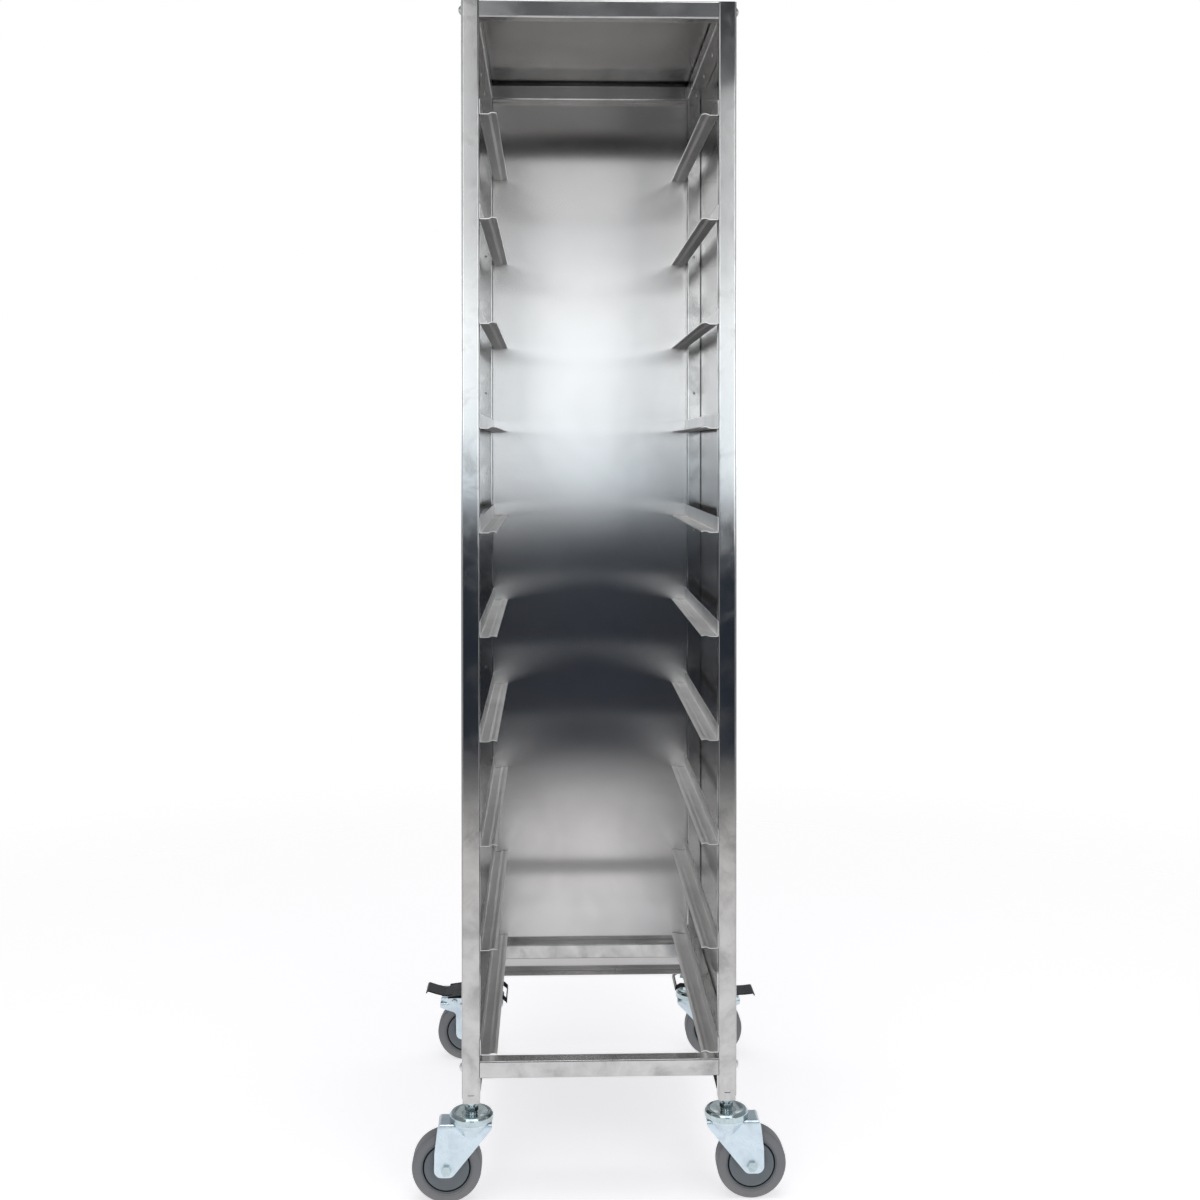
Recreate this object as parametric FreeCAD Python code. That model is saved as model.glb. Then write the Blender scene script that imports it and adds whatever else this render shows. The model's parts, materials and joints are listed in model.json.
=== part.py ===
import FreeCAD, Part
import math
import os

# An enclosed sheet pan rack on casters, in millimetres. A frame of square tube carries ten pairs of
# folded slides, and sheet panels close its sides, back and top. +Z is up and -Y is the open front.
# The origin is on the floor, midway between the four posts.

V = FreeCAD.Vector

# ---- Frame of square tube ----
FRAME_WIDTH = 394.0  # over the outer faces of the posts, left to right
FRAME_DEPTH = 550.0  # over the outer faces of the posts, front to back
TUBE = 25.0
TUBE_WALL = 1.5
TUBE_CORNER = 2.5
STEM_HEIGHT = 41.0  # tops of the wheels to the lower ends of the posts
BAR_RISE = 36.0  # lower ends of the posts to the undersides of the bottom bars and rails
END_PLATE = 2.0
SOCKET_LENGTH = 35.0
PLUG_LENGTH = 30.0
PUSH_FIT = 0.05  # each side, between a tube's bore and what is pressed into it
POST_SLOT_WIDTH = 9.0
POST_SLOT_HEIGHT = 4.0
POST_SLOT_RISE = 13.0  # lower end of a front post to the middle of its slot

# ---- Slides ----
SLIDE_COUNT = 10
SLIDE_PITCH = 150.0
SLIDE_SHEET = 1.2
SLIDE_BEND = 1.0
SLIDE_FLANGE = 21.0  # height of the upright flange above the ledge
SLIDE_LEDGE = 25.0  # reach of the ledge from the post
SLIDE_BEAD = 2.0  # rise of the bead along the ledge
SLIDE_REAR_GAP = 1.0
LEDGE_RISE = 10.0  # tops of the bottom bars to the lowest ledge
HEAD_SPACE = 138.0  # top ledge to the undersides of the top bars

# ---- Panels and their screws ----
PANEL = 1.0
PANEL_BEND = 1.0
PANEL_DROP = 30.0  # the panels hang this far below the bottom bars
PANEL_RETURN = 25.0  # width of the folded return along a panel's lower edge
PANEL_NOTCH = 1.0  # gap between a return and the post beside it
PANEL_FRONT_INSET = 2.0
TOP_RISE = 4.0  # the top sheet stands this far above the frame on its folded edges
TOP_SIDE_INSET = 3.0
TOP_FRONT_INSET = 18.0
SCREW_RADIUS = 2.0
SCREW_HEAD_RADIUS = 4.0
SCREW_HEAD_HEIGHT = 2.6
SCREW_TIP = 4.0  # length that stands out beyond the tube
BACK_SCREW_COUNT = 7
BACK_SCREW_INSET = 11.0  # from the lowest row to the top of the bottom bar, and likewise above
TOP_SCREW_COUNT = 4
TOP_SCREW_INSET = 45.0  # from the ends of a top rail

# ---- Bolts that join the cross bars to the posts ----
BOLT_RADIUS = 4.0
BOLT_HEAD_RADIUS = 7.0
BOLT_HEAD_HEIGHT = 4.5
BOLT_KEY = 5.0  # across the flats of the hexagon socket
BOLT_KEY_DEPTH = 2.5
BOLT_CLEARANCE = 0.25
THREAD_CLEARANCE = 0.05

# ---- Casters ----
WHEEL_RADIUS = 50.0
WHEEL_TRAIL = 35.0  # stem axis to axle
TYRE_WIDTH = 32.0
TYRE_SHOULDER = 5.0
HUB_RADIUS = 36.0
HUB_WIDTH = 28.0
HUB_RIM = 1.4
HUB_GROOVE = 1.4  # width of the groove inside the hub's rim
HUB_GROOVE_DEPTH = 3.0
SLEEVE_RADIUS = 8.0
AXLE_RADIUS = 4.0
AXLE_FLATS = 13.0
AXLE_HEAD = 5.0
AXLE_NUT = 6.5
AXLE_TAIL = 2.0
FORK_SHEET = 2.5
FORK_GAP = 3.0  # tyre to fork leg, on each side
FORK_BEND = 5.0
CROWN_RISE = 14.5  # wheel's top to the crown's top on a plain caster, at the front
BRAKED_CROWN_RISE = 4.0  # the same on a braked caster, at the rear
CROWN_RADIUS = 30.0
CROWN_REACH = 30.0  # stem axis to the crown's edge, away from the wheel
SHOULDER = 18.0  # height of the flare between the legs and the crown
RUNNING_CLEARANCE = 0.05
FACE_CLEARANCE = 0.3
CUP_RADIUS = 31.5
CUP_SHEET = 2.0
CUP_HEIGHT = 11.0
CUP_GAP = 0.5  # crown to the cup's rim
CUP_DISH = 2.5
BALL_RING_RADIUS = 19.0
KINGPIN_RADIUS = 5.0
KINGPIN_HEAD_RADIUS = 8.0
KINGPIN_HEAD = 3.0
NECK_RADIUS = 5.5
NUT_FLATS = 17.0
NUT_HEIGHT = 6.5
COLLAR_RADIUS = 8.5
COLLAR_HEIGHT = 4.0
STUD_LENGTH = 30.0  # length inside the post's socket

# ---- Brake pedals on the rear casters: a rocking frame round the stem, drawn released ----
PEDAL_PIN_REACH = 55.0  # stem axis to the pedal's pin
PEDAL_PIN_RISE = 5.0  # crown to the pin
PEDAL_PIN_RADIUS = 3.0
PEDAL_PIN_HEAD_RADIUS = 5.0
PEDAL_PIN_HEAD = 1.5
PEDAL_TRAVEL = 12.0  # degrees between pressed and released
PEDAL_SHEET = 2.0
PEDAL_SIDE_GAP = 1.5  # cup to the pedal's side, and fork lug to the brake shoe
PEDAL_TIP = 105.0  # stem axis to the pedal's outer edge
SHELF_REACH = 81.0  # stem axis to the outer edge of the fork's shelf
SHELF_DEPTH = 8.0
LUG_RADIUS = 7.0
SHOE_ANGLE = -95.0  # degrees: the way the brake shoe points from its pin when it is pressed
SHOE_TIP = 3.0  # width of the face that presses on the tyre
SHOE_CLEARANCE = 0.9  # middle of that face to the tyre when the pedal is pressed

# ---- Sizes that follow from those above ----
POST_X = (FRAME_WIDTH - TUBE) / 2
POST_Y = (FRAME_DEPTH - TUBE) / 2
INNER_X = FRAME_WIDTH / 2 - TUBE
INNER_Y = FRAME_DEPTH / 2 - TUBE
CASTER_HEIGHT = 2 * WHEEL_RADIUS + STEM_HEIGHT
CROWN_TOP = 2 * WHEEL_RADIUS + CROWN_RISE
BRAKED_CROWN_TOP = 2 * WHEEL_RADIUS + BRAKED_CROWN_RISE
BOTTOM_BAR_Z = CASTER_HEIGHT + BAR_RISE + TUBE / 2
LOWEST_LEDGE = CASTER_HEIGHT + BAR_RISE + TUBE + LEDGE_RISE
TOP_BAR_Z = LOWEST_LEDGE + (SLIDE_COUNT - 1) * SLIDE_PITCH + HEAD_SPACE + TUBE / 2
FRAME_TOP = TOP_BAR_Z + TUBE / 2
PANEL_BOTTOM = CASTER_HEIGHT + BAR_RISE - PANEL_DROP
TUBE_BORE = TUBE - 2 * TUBE_WALL
FORK_INSIDE = TYRE_WIDTH / 2 + FORK_GAP
FORK_OUTSIDE = FORK_INSIDE + FORK_SHEET
PEDAL_PIN_HEIGHT = BRAKED_CROWN_TOP + PEDAL_PIN_RISE
PEDAL_INSIDE = CUP_RADIUS + PEDAL_SIDE_GAP
PEDAL_OUTSIDE = PEDAL_INSIDE + PEDAL_SHEET
PANEL_CORNER = max(TUBE, PANEL_RETURN) + PANEL_NOTCH  # what a return leaves free at each post

# A flat section is drawn in one of three planes and pushed out along that plane's normal.
PLANES = {
    "xy": (lambda a, b: V(a, b, 0), V(0, 0, 1)),
    "xz": (lambda a, b: V(a, 0, b), V(0, 1, 0)),
    "yz": (lambda a, b: V(0, a, b), V(1, 0, 0)),
}


def closed_wire(points, radii, to_space):
    """A closed wire through the points, with an arc of the given radius at each corner."""
    corners = []
    for i, (point, radius) in enumerate(zip(points, radii)):
        corner = to_space(*point)
        back = (to_space(*points[i - 1]) - corner).normalize()
        ahead = (to_space(*points[(i + 1) % len(points)]) - corner).normalize()
        half = back.getAngle(ahead) / 2
        if radius == 0:
            corners.append((corner, None, corner))
            continue
        reach = radius / math.tan(half)
        middle = corner + (back + ahead).normalize() * (radius / math.sin(half) - radius)
        corners.append((corner + back * reach, middle, corner + ahead * reach))
    edges = []
    for i, (enter, middle, leave) in enumerate(corners):
        if middle is not None:
            edges.append(Part.Arc(enter, middle, leave).toShape())
        following = corners[(i + 1) % len(corners)][0]
        if leave.distanceToPoint(following) > 1e-6:
            edges.append(Part.makeLine(leave, following))
    return Part.Wire(edges)


def prism(plane, start, length, *outlines):
    """The first outline, less any others, pushed out along the plane's normal.

    An outline is a pair: its points, and its corner radii as one number or one for each point.
    """
    to_space, normal = PLANES[plane]
    wires = []
    for points, radii in outlines:
        if not isinstance(radii, (list, tuple)):
            radii = [radii] * len(points)
        wires.append(closed_wire(points, radii, to_space))
    face = Part.Face(wires[0])
    for hole in wires[1:]:
        face = face.cut(Part.Face(hole))
    solid = face.extrude(normal * length)
    solid.translate(normal * start)
    return solid.Solids[0]


def rectangle(a, b, width, height, radius=0.0):
    """A rectangle's outline about the centre a, b."""
    x, y = width / 2, height / 2
    return [(a - x, b - y), (a + x, b - y), (a + x, b + y), (a - x, b + y)], radius


def folded_strip(points, sheet, bend):
    """The outline of a sheet folded along an open line that runs midway through its thickness."""
    sides = {1: [], -1: []}
    radii = {1: [], -1: []}
    for i, (a, b) in enumerate(points):
        headings = []
        if i > 0:
            headings.append(math.atan2(b - points[i - 1][1], a - points[i - 1][0]))
        if i < len(points) - 1:
            headings.append(math.atan2(points[i + 1][1] - b, points[i + 1][0] - a))
        turn = (headings[-1] - headings[0] + math.pi) % (2 * math.pi) - math.pi
        normal = headings[0] + turn / 2 + math.pi / 2
        reach = sheet / 2 / math.cos(turn / 2)
        for side in sides:
            sides[side].append((a + side * reach * math.cos(normal), b + side * reach * math.sin(normal)))
            inside = turn * side > 0
            radii[side].append(0.0 if turn == 0 else bend if inside else bend + sheet)
    return sides[1] + sides[-1][::-1], radii[1] + radii[-1][::-1]


def mirrored(outline):
    """The same outline on the other side of the middle plane."""
    points, radii = outline
    return [(-a, b) for a, b in points], radii


def rod(radius, start, direction, length):
    """A round bar from start along a direction."""
    return Part.makeCylinder(radius, length, start, direction)


def hexagon(flats, start, direction, length):
    """A six-sided bar from start along a direction, measured across its flats."""
    circumradius = flats / math.sqrt(3)
    corners = [V(circumradius * math.cos(math.radians(60 * k)),
                 circumradius * math.sin(math.radians(60 * k)), 0) for k in range(7)]
    solid = Part.Face(Part.makePolygon(corners)).extrude(V(0, 0, length))
    solid.Placement = FreeCAD.Placement(start, FreeCAD.Rotation(V(0, 0, 1), direction))
    return solid


def turned(outline):
    """A ring turned about the Z axis, from an outline of radius and height."""
    points, radii = outline
    if not isinstance(radii, (list, tuple)):
        radii = [radii] * len(points)
    face = Part.Face(closed_wire(points, radii, PLANES["xz"][0]))
    return face.revolve(V(0, 0, 0), V(0, 0, 1), 360).Solids[0]


def dome(radius, height, start, direction):
    """A shallow dome, flat on its base at start and rounded along a direction."""
    sphere_radius = (radius ** 2 + height ** 2) / (2 * height)
    ball = Part.makeSphere(sphere_radius, V(0, 0, height - sphere_radius))
    cap = ball.common(rod(radius, V(0, 0, 0), V(0, 0, 1), height))
    cap.Placement = FreeCAD.Placement(start, FreeCAD.Rotation(V(0, 0, 1), direction))
    return cap.Solids[0]


def square_tube(plane, a, b, start, length):
    """A length of the frame's square tube about the centre a, b."""
    bore_corner = TUBE_CORNER - TUBE_WALL
    return prism(plane, start, length, rectangle(a, b, TUBE, TUBE, TUBE_CORNER),
                 rectangle(a, b, TUBE_BORE, TUBE_BORE, bore_corner))


def tube_plug(plane, a, b, start, length):
    """A square plug that fills the bore of a tube about the centre a, b."""
    size = TUBE_BORE - 2 * PUSH_FIT
    return prism(plane, start, length, rectangle(a, b, size, size, TUBE_CORNER - TUBE_WALL))


def spread(first, last, count):
    """Evenly spaced places from first to last."""
    return [first + (last - first) * k / (count - 1) for k in range(count)]


BACK_SCREW_HEIGHTS = spread(BOTTOM_BAR_Z + TUBE / 2 + BACK_SCREW_INSET,
                            TOP_BAR_Z - TUBE / 2 - BACK_SCREW_INSET - TUBE, BACK_SCREW_COUNT)
TOP_SCREW_PLACES = spread(-INNER_Y + TOP_SCREW_INSET, INNER_Y - TOP_SCREW_INSET, TOP_SCREW_COUNT)


# ---- Frame ----

def post(side, end):
    """An upright with a threaded socket for the caster in its foot and a plate in its top."""
    x, y = side * POST_X, end * POST_Y
    tube = square_tube("xy", x, y, CASTER_HEIGHT, FRAME_TOP - CASTER_HEIGHT)
    for z in (BOTTOM_BAR_Z, TOP_BAR_Z):
        tube = tube.cut(rod(BOLT_RADIUS + BOLT_CLEARANCE, V(x - TUBE, y, z), V(1, 0, 0), 2 * TUBE))
    if end < 0:
        slot = rectangle(x, CASTER_HEIGHT + POST_SLOT_RISE, POST_SLOT_WIDTH, POST_SLOT_HEIGHT, 1.0)
        tube = tube.cut(prism("xz", y - TUBE, TUBE, slot))
    else:
        for z in BACK_SCREW_HEIGHTS:
            tube = tube.cut(rod(SCREW_RADIUS + PUSH_FIT, V(x, y - TUBE, z), V(0, 1, 0), 2 * TUBE))
    socket = tube_plug("xy", x, y, CASTER_HEIGHT, SOCKET_LENGTH)
    socket = socket.cut(rod(KINGPIN_RADIUS + THREAD_CLEARANCE, V(x, y, CASTER_HEIGHT), V(0, 0, 1), SOCKET_LENGTH))
    plate = tube_plug("xy", x, y, FRAME_TOP - END_PLATE, END_PLATE)
    return [tube, socket, plate]


def cross_bar(end, z):
    """A bar between two posts, with a threaded plug in each end for its bolt."""
    y = end * POST_Y
    solids = [square_tube("yz", y, z, -INNER_X, 2 * INNER_X)]
    for start in (-INNER_X, INNER_X - PLUG_LENGTH):
        plug = tube_plug("yz", y, z, start, PLUG_LENGTH)
        bore = rod(BOLT_RADIUS + THREAD_CLEARANCE, V(start, y, z), V(1, 0, 0), PLUG_LENGTH)
        solids.append(plug.cut(bore))
    return solids


def side_rail(side, z):
    """A rail between a front post and the rear post behind it."""
    x = side * POST_X
    rail = square_tube("xz", x, z, -INNER_Y, 2 * INNER_Y)
    if z == TOP_BAR_Z:
        for y in TOP_SCREW_PLACES:
            rail = rail.cut(rod(SCREW_RADIUS + PUSH_FIT, V(x, y, z - TUBE), V(0, 0, 1), 2 * TUBE))
    return [rail]


def slide(side, ledge):
    """A folded slide: an upright flange against the posts and a beaded ledge that a pan rests on."""
    half = SLIDE_SHEET / 2
    bead = [(SLIDE_LEDGE - 12, 0), (SLIDE_LEDGE - 8, SLIDE_BEAD), (SLIDE_LEDGE - 4, SLIDE_BEAD), (SLIDE_LEDGE, 0.8)]
    line = [(INNER_X - half, ledge + SLIDE_FLANGE), (INNER_X - half, ledge - half)]
    line += [(INNER_X - reach, ledge - half + rise) for reach, rise in bead]
    outline = folded_strip(line, SLIDE_SHEET, SLIDE_BEND)
    if side < 0:
        outline = mirrored(outline)
    return [prism("xz", -FRAME_DEPTH / 2, FRAME_DEPTH - SLIDE_REAR_GAP, outline)]


# ---- Panels ----

def side_panel(side):
    """A side sheet outside the posts, folded inwards along its lower edge between them."""
    middle = FRAME_WIDTH / 2 + PANEL / 2
    foot = PANEL_BOTTOM + PANEL / 2
    line = [(middle, FRAME_TOP), (middle, foot), (middle - PANEL / 2 - PANEL_RETURN, foot)]
    outline = folded_strip(line, PANEL, PANEL_BEND)
    if side < 0:
        outline = mirrored(outline)
    front = -FRAME_DEPTH / 2 + PANEL_FRONT_INSET
    panel = prism("xz", front, FRAME_DEPTH / 2 - front, outline)
    low = PANEL_BOTTOM - PANEL
    for end in (-1, 1):
        notch = Part.makeBox(PANEL_CORNER, PANEL_CORNER, 4 * PANEL + PANEL_BEND)
        notch.translate(V((side * FRAME_WIDTH - (1 + side) * PANEL_CORNER) / 2,
                          (end * FRAME_DEPTH - (1 + end) * PANEL_CORNER) / 2, low))
        panel = panel.cut(notch)
        for z in (BOTTOM_BAR_Z, TOP_BAR_Z):
            start = V(side * FRAME_WIDTH / 2, end * POST_Y, z)
            panel = panel.cut(rod(BOLT_RADIUS + BOLT_CLEARANCE, start, V(side, 0, 0), PANEL))
    return [panel.Solids[0]]


def back_panel():
    """The back sheet behind the rear posts, folded forwards along its lower edge between them."""
    middle = FRAME_DEPTH / 2 + PANEL / 2
    foot = PANEL_BOTTOM + PANEL / 2
    line = [(middle, FRAME_TOP), (middle, foot), (middle - PANEL / 2 - PANEL_RETURN, foot)]
    width = FRAME_WIDTH + 2 * PANEL
    panel = prism("yz", -width / 2, width, folded_strip(line, PANEL, PANEL_BEND))
    low = PANEL_BOTTOM - PANEL
    for side in (-1, 1):
        notch = Part.makeBox(PANEL_CORNER + PANEL, PANEL_CORNER, 4 * PANEL + PANEL_BEND)
        notch.translate(V((side * width - (1 + side) * (PANEL_CORNER + PANEL)) / 2,
                          FRAME_DEPTH / 2 - PANEL_CORNER, low))
        panel = panel.cut(notch)
        for z in BACK_SCREW_HEIGHTS:
            start = V(side * POST_X, FRAME_DEPTH / 2, z)
            panel = panel.cut(rod(SCREW_RADIUS + PUSH_FIT, start, V(0, 1, 0), PANEL))
    return [panel.Solids[0]]


def top_panel():
    """A shallow lid on the frame: a flat sheet with its four edges folded down."""
    half_width = FRAME_WIDTH / 2 - TOP_SIDE_INSET
    front = -FRAME_DEPTH / 2 + TOP_FRONT_INSET
    rear = FRAME_DEPTH / 2 - TOP_SIDE_INSET
    height = TOP_RISE + PANEL
    outer = Part.makeBox(2 * half_width, rear - front, height, V(-half_width, front, FRAME_TOP))
    upright = [edge for edge in outer.Edges if abs(edge.Vertexes[0].Z - edge.Vertexes[-1].Z) > TOP_RISE]
    outer = outer.makeFillet(PANEL_BEND + PANEL, upright)
    inner = Part.makeBox(2 * (half_width - PANEL), rear - front - 2 * PANEL, TOP_RISE,
                         V(-half_width + PANEL, front + PANEL, FRAME_TOP))
    panel = outer.cut(inner)
    for side in (-1, 1):
        for y in TOP_SCREW_PLACES:
            start = V(side * POST_X, y, FRAME_TOP + TOP_RISE + PANEL)
            panel = panel.cut(Part.makeCone(SCREW_HEAD_RADIUS + 2 * PUSH_FIT, SCREW_RADIUS + 2 * PUSH_FIT,
                                            SCREW_HEAD_HEIGHT, start, V(0, 0, -1)))
    return [panel.Solids[0]]


# ---- Fasteners ----

def bolt(side, end, z):
    """A button-head bolt from outside a side panel, through the post and into a bar's plug."""
    seat = V(side * (FRAME_WIDTH / 2 + PANEL), end * POST_Y, z)
    outward = V(side, 0, 0)
    head = dome(BOLT_HEAD_RADIUS, BOLT_HEAD_HEIGHT, seat, outward)
    key_seat = seat + outward * (BOLT_HEAD_HEIGHT - BOLT_KEY_DEPTH)
    head = head.cut(hexagon(BOLT_KEY, key_seat, outward, BOLT_HEAD_HEIGHT))
    shank = rod(BOLT_RADIUS, seat, -outward, PANEL + TUBE + PLUG_LENGTH - 2 * TUBE_WALL)
    return head.fuse(shank).removeSplitter().Solids[0]


def panel_screw(seat, inward, grip, flush=False):
    """A screw, domed or flush with its panel, whose point stands out beyond the tube that it grips."""
    shank = rod(SCREW_RADIUS, seat, inward, grip)
    point = Part.makeCone(SCREW_RADIUS, SCREW_RADIUS / 4, SCREW_TIP, seat + inward * grip, inward)
    if flush:
        head = Part.makeCone(SCREW_HEAD_RADIUS, SCREW_RADIUS, SCREW_HEAD_HEIGHT, seat, inward)
    else:
        head = dome(SCREW_HEAD_RADIUS, SCREW_HEAD_HEIGHT, seat, -inward)
    return head.fuse([shank, point]).removeSplitter().Solids[0]


def panel_screws():
    """The back panel's screws into the rear posts, and the top panel's into the top rails."""
    solids = []
    for side in (-1, 1):
        for z in BACK_SCREW_HEIGHTS:
            seat = V(side * POST_X, FRAME_DEPTH / 2 + PANEL, z)
            solids.append(panel_screw(seat, V(0, -1, 0), PANEL + TUBE))
        for y in TOP_SCREW_PLACES:
            seat = V(side * POST_X, y, FRAME_TOP + TOP_RISE + PANEL - PUSH_FIT)
            solids.append(panel_screw(seat, V(0, 0, -1), PANEL + TOP_RISE + TUBE, flush=True))
    return solids


# ---- Casters, drawn with the stem on the Z axis and the wheel trailing towards +X ----

def caster_stem(crown_top):
    """The fixed half: a kingpin with its threaded stud, a cup over the ball ring, and a nut."""
    up = V(0, 0, 1)
    cup_bottom = crown_top + CUP_GAP
    cup_top = cup_bottom + CUP_HEIGHT
    head_top = crown_top - FORK_SHEET - FACE_CLEARANCE
    nut_base = cup_top - CUP_DISH + COLLAR_HEIGHT
    neck_base = nut_base + NUT_HEIGHT
    pin = rod(KINGPIN_HEAD_RADIUS, V(0, 0, head_top - KINGPIN_HEAD), up, KINGPIN_HEAD)
    pin = pin.fuse([
        rod(KINGPIN_RADIUS, V(0, 0, head_top), up, neck_base - head_top),
        rod(NECK_RADIUS, V(0, 0, neck_base), up, CASTER_HEIGHT - neck_base),
        rod(KINGPIN_RADIUS, V(0, 0, CASTER_HEIGHT), up, STUD_LENGTH),
    ])
    bore = KINGPIN_RADIUS + THREAD_CLEARANCE
    dish = cup_top - CUP_DISH
    ceiling = dish - CUP_SHEET
    wall = CUP_RADIUS - CUP_SHEET
    cup = turned(([
        (bore, ceiling), (wall - 1.5, ceiling), (wall, ceiling - 1.5), (wall, cup_bottom),
        (CUP_RADIUS, cup_bottom), (CUP_RADIUS, cup_top - 3), (CUP_RADIUS - 3, cup_top),
        (CUP_RADIUS - 7, cup_top), (CUP_RADIUS - 17, dish), (COLLAR_RADIUS, dish),
        (COLLAR_RADIUS, nut_base), (bore, nut_base),
    ], [0, 0, 0, 0, 0.6, 2.0, 2.0, 3.0, 3.0, 1.0, 0.6, 0]))
    nut = hexagon(NUT_FLATS, V(0, 0, nut_base), up, NUT_HEIGHT)
    nut = nut.cut(rod(bore, V(0, 0, nut_base), up, NUT_HEIGHT))
    return [pin.removeSplitter().Solids[0], cup, nut]


def fork_outline(crown_top, braked):
    """The side view of a fork: the crown and a leg down to the axle, with a shelf if it is braked."""
    axle_boss = 11.0
    outer_edge = WHEEL_TRAIL + 17.6
    foot = WHEEL_RADIUS - axle_boss
    points = [(-CROWN_REACH, crown_top - FORK_SHEET - 4), (-CROWN_REACH, crown_top)]
    radii = [2.5, 1.5]
    if braked:
        under = crown_top - SHELF_DEPTH
        points += [(SHELF_REACH, crown_top), (SHELF_REACH, under), (SHELF_REACH - 9, under - 4),
                   (outer_edge + 0.6, under - 10)]
        radii += [2, 3, 6, 7]
    else:
        points += [(outer_edge - 5.6, crown_top), (outer_edge - 0.6, crown_top - 40)]
        radii += [6, 20]
    points += [(outer_edge, foot), (WHEEL_TRAIL - 8, foot)]
    return points, radii + [axle_boss - 0.5, axle_boss - 0.5]


def caster_fork(crown_top, braked):
    """The swivelling half: a pressed fork, the ring of balls on its crown and the pedal's pin."""
    across, up = V(0, 1, 0), V(0, 0, 1)
    crown_bottom = crown_top - FORK_SHEET
    low, far = -10.0, 2 * SHELF_REACH
    side_view = prism("xz", -FORK_OUTSIDE, 2 * FORK_OUTSIDE, fork_outline(crown_top, braked))
    bent = [(FORK_OUTSIDE, low), (FORK_OUTSIDE, crown_top), (-FORK_OUTSIDE, crown_top), (-FORK_OUTSIDE, low),
            (-FORK_INSIDE, low), (-FORK_INSIDE, crown_bottom), (FORK_INSIDE, crown_bottom), (FORK_INSIDE, low)]
    inner_bend = FORK_BEND - FORK_SHEET
    bend_radii = [0, FORK_BEND, FORK_BEND, 0, 0, inner_bend, inner_bend, 0]
    fork = side_view.common(prism("yz", -far, 2 * far, (bent, bend_radii)))
    flare = Part.makeCone(FORK_OUTSIDE, CROWN_RADIUS, SHOULDER, V(0, 0, crown_bottom - SHOULDER), up)
    flare = flare.cut(prism("xz", -FORK_INSIDE, 2 * FORK_INSIDE,
                            rectangle(0, crown_bottom / 2, 2 * CROWN_RADIUS, crown_bottom)))
    fork = fork.fuse([flare, rod(CROWN_RADIUS, V(0, 0, crown_bottom), up, FORK_SHEET)]).removeSplitter()
    fork = fork.cut(rod(KINGPIN_RADIUS + RUNNING_CLEARANCE, V(0, 0, crown_bottom), up, FORK_SHEET))
    axle_at = V(WHEEL_TRAIL, -far, WHEEL_RADIUS)
    fork = fork.cut(rod(AXLE_RADIUS + THREAD_CLEARANCE, axle_at, across, 2 * far))
    ring_space = CUP_GAP + CUP_HEIGHT - CUP_DISH - CUP_SHEET - FACE_CLEARANCE
    balls = Part.makeTorus(BALL_RING_RADIUS, ring_space / 2)
    balls.translate(V(0, 0, crown_top + ring_space / 2))
    if not braked:
        return [fork.Solids[0], balls]
    fork = fork.fuse(pedal_lugs()).cut(shoe_window()).removeSplitter()
    pin_at = V(PEDAL_PIN_REACH, 0, PEDAL_PIN_HEIGHT)
    fork = fork.cut(rod(PEDAL_PIN_RADIUS + THREAD_CLEARANCE, pin_at - across * far, across, 2 * far))
    return [fork.Solids[0], balls, pedal_pin(pin_at, across)]


def pedal_lugs():
    """Two ears that stand up from a braked fork to carry the pedal's pin."""
    x, top = PEDAL_PIN_REACH, PEDAL_PIN_HEIGHT + LUG_RADIUS
    foot = BRAKED_CROWN_TOP - FORK_BEND
    points = [(x - LUG_RADIUS - 3, foot), (x - LUG_RADIUS, top), (x + LUG_RADIUS, top), (x + LUG_RADIUS + 3, foot)]
    return [prism("xz", start, FORK_SHEET, (points, [0, 5, 5, 0])) for start in (-FORK_OUTSIDE, FORK_INSIDE)]


def shoe_window():
    """The opening in a braked fork's crown that the brake shoe reaches down through."""
    width = 2 * (LUG_RADIUS + 2)
    centre = BRAKED_CROWN_TOP - FORK_SHEET / 2
    window = rectangle(PEDAL_PIN_REACH, centre, width, 3 * FORK_SHEET)
    return prism("xz", -FORK_INSIDE, 2 * FORK_INSIDE, window)


def pedal_pin(centre, across):
    """A pin through the fork's lugs and the pedal's sides, riveted over at both ends."""
    pin = rod(PEDAL_PIN_RADIUS, centre - across * (PEDAL_OUTSIDE + 0.5), across, 2 * PEDAL_OUTSIDE + 1)
    heads = [dome(PEDAL_PIN_HEAD_RADIUS, PEDAL_PIN_HEAD, centre + across * sign * (PEDAL_OUTSIDE + 0.3), across * sign)
             for sign in (-1, 1)]
    return pin.fuse(heads).removeSplitter().Solids[0]


def about_axle(solid):
    """Lay a piece that was turned about Z along the wheel's axle."""
    solid.Placement = FreeCAD.Placement(V(WHEEL_TRAIL, 0, WHEEL_RADIUS), FreeCAD.Rotation(V(0, 0, 1), V(0, -1, 0)))
    return solid


def tyre():
    """The tyre, with rounded shoulders and a slight step at the foot of each sidewall."""
    half = TYRE_WIDTH / 2
    seat = HUB_WIDTH / 2
    outline = [
        (HUB_RADIUS, -seat), (HUB_RADIUS + 1.5, -half), (WHEEL_RADIUS, -half), (WHEEL_RADIUS, half),
        (HUB_RADIUS + 1.5, half), (HUB_RADIUS, seat),
    ]
    return [about_axle(turned((outline, [0, 1.0, TYRE_SHOULDER, TYRE_SHOULDER, 1.0, 0])))]


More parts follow.
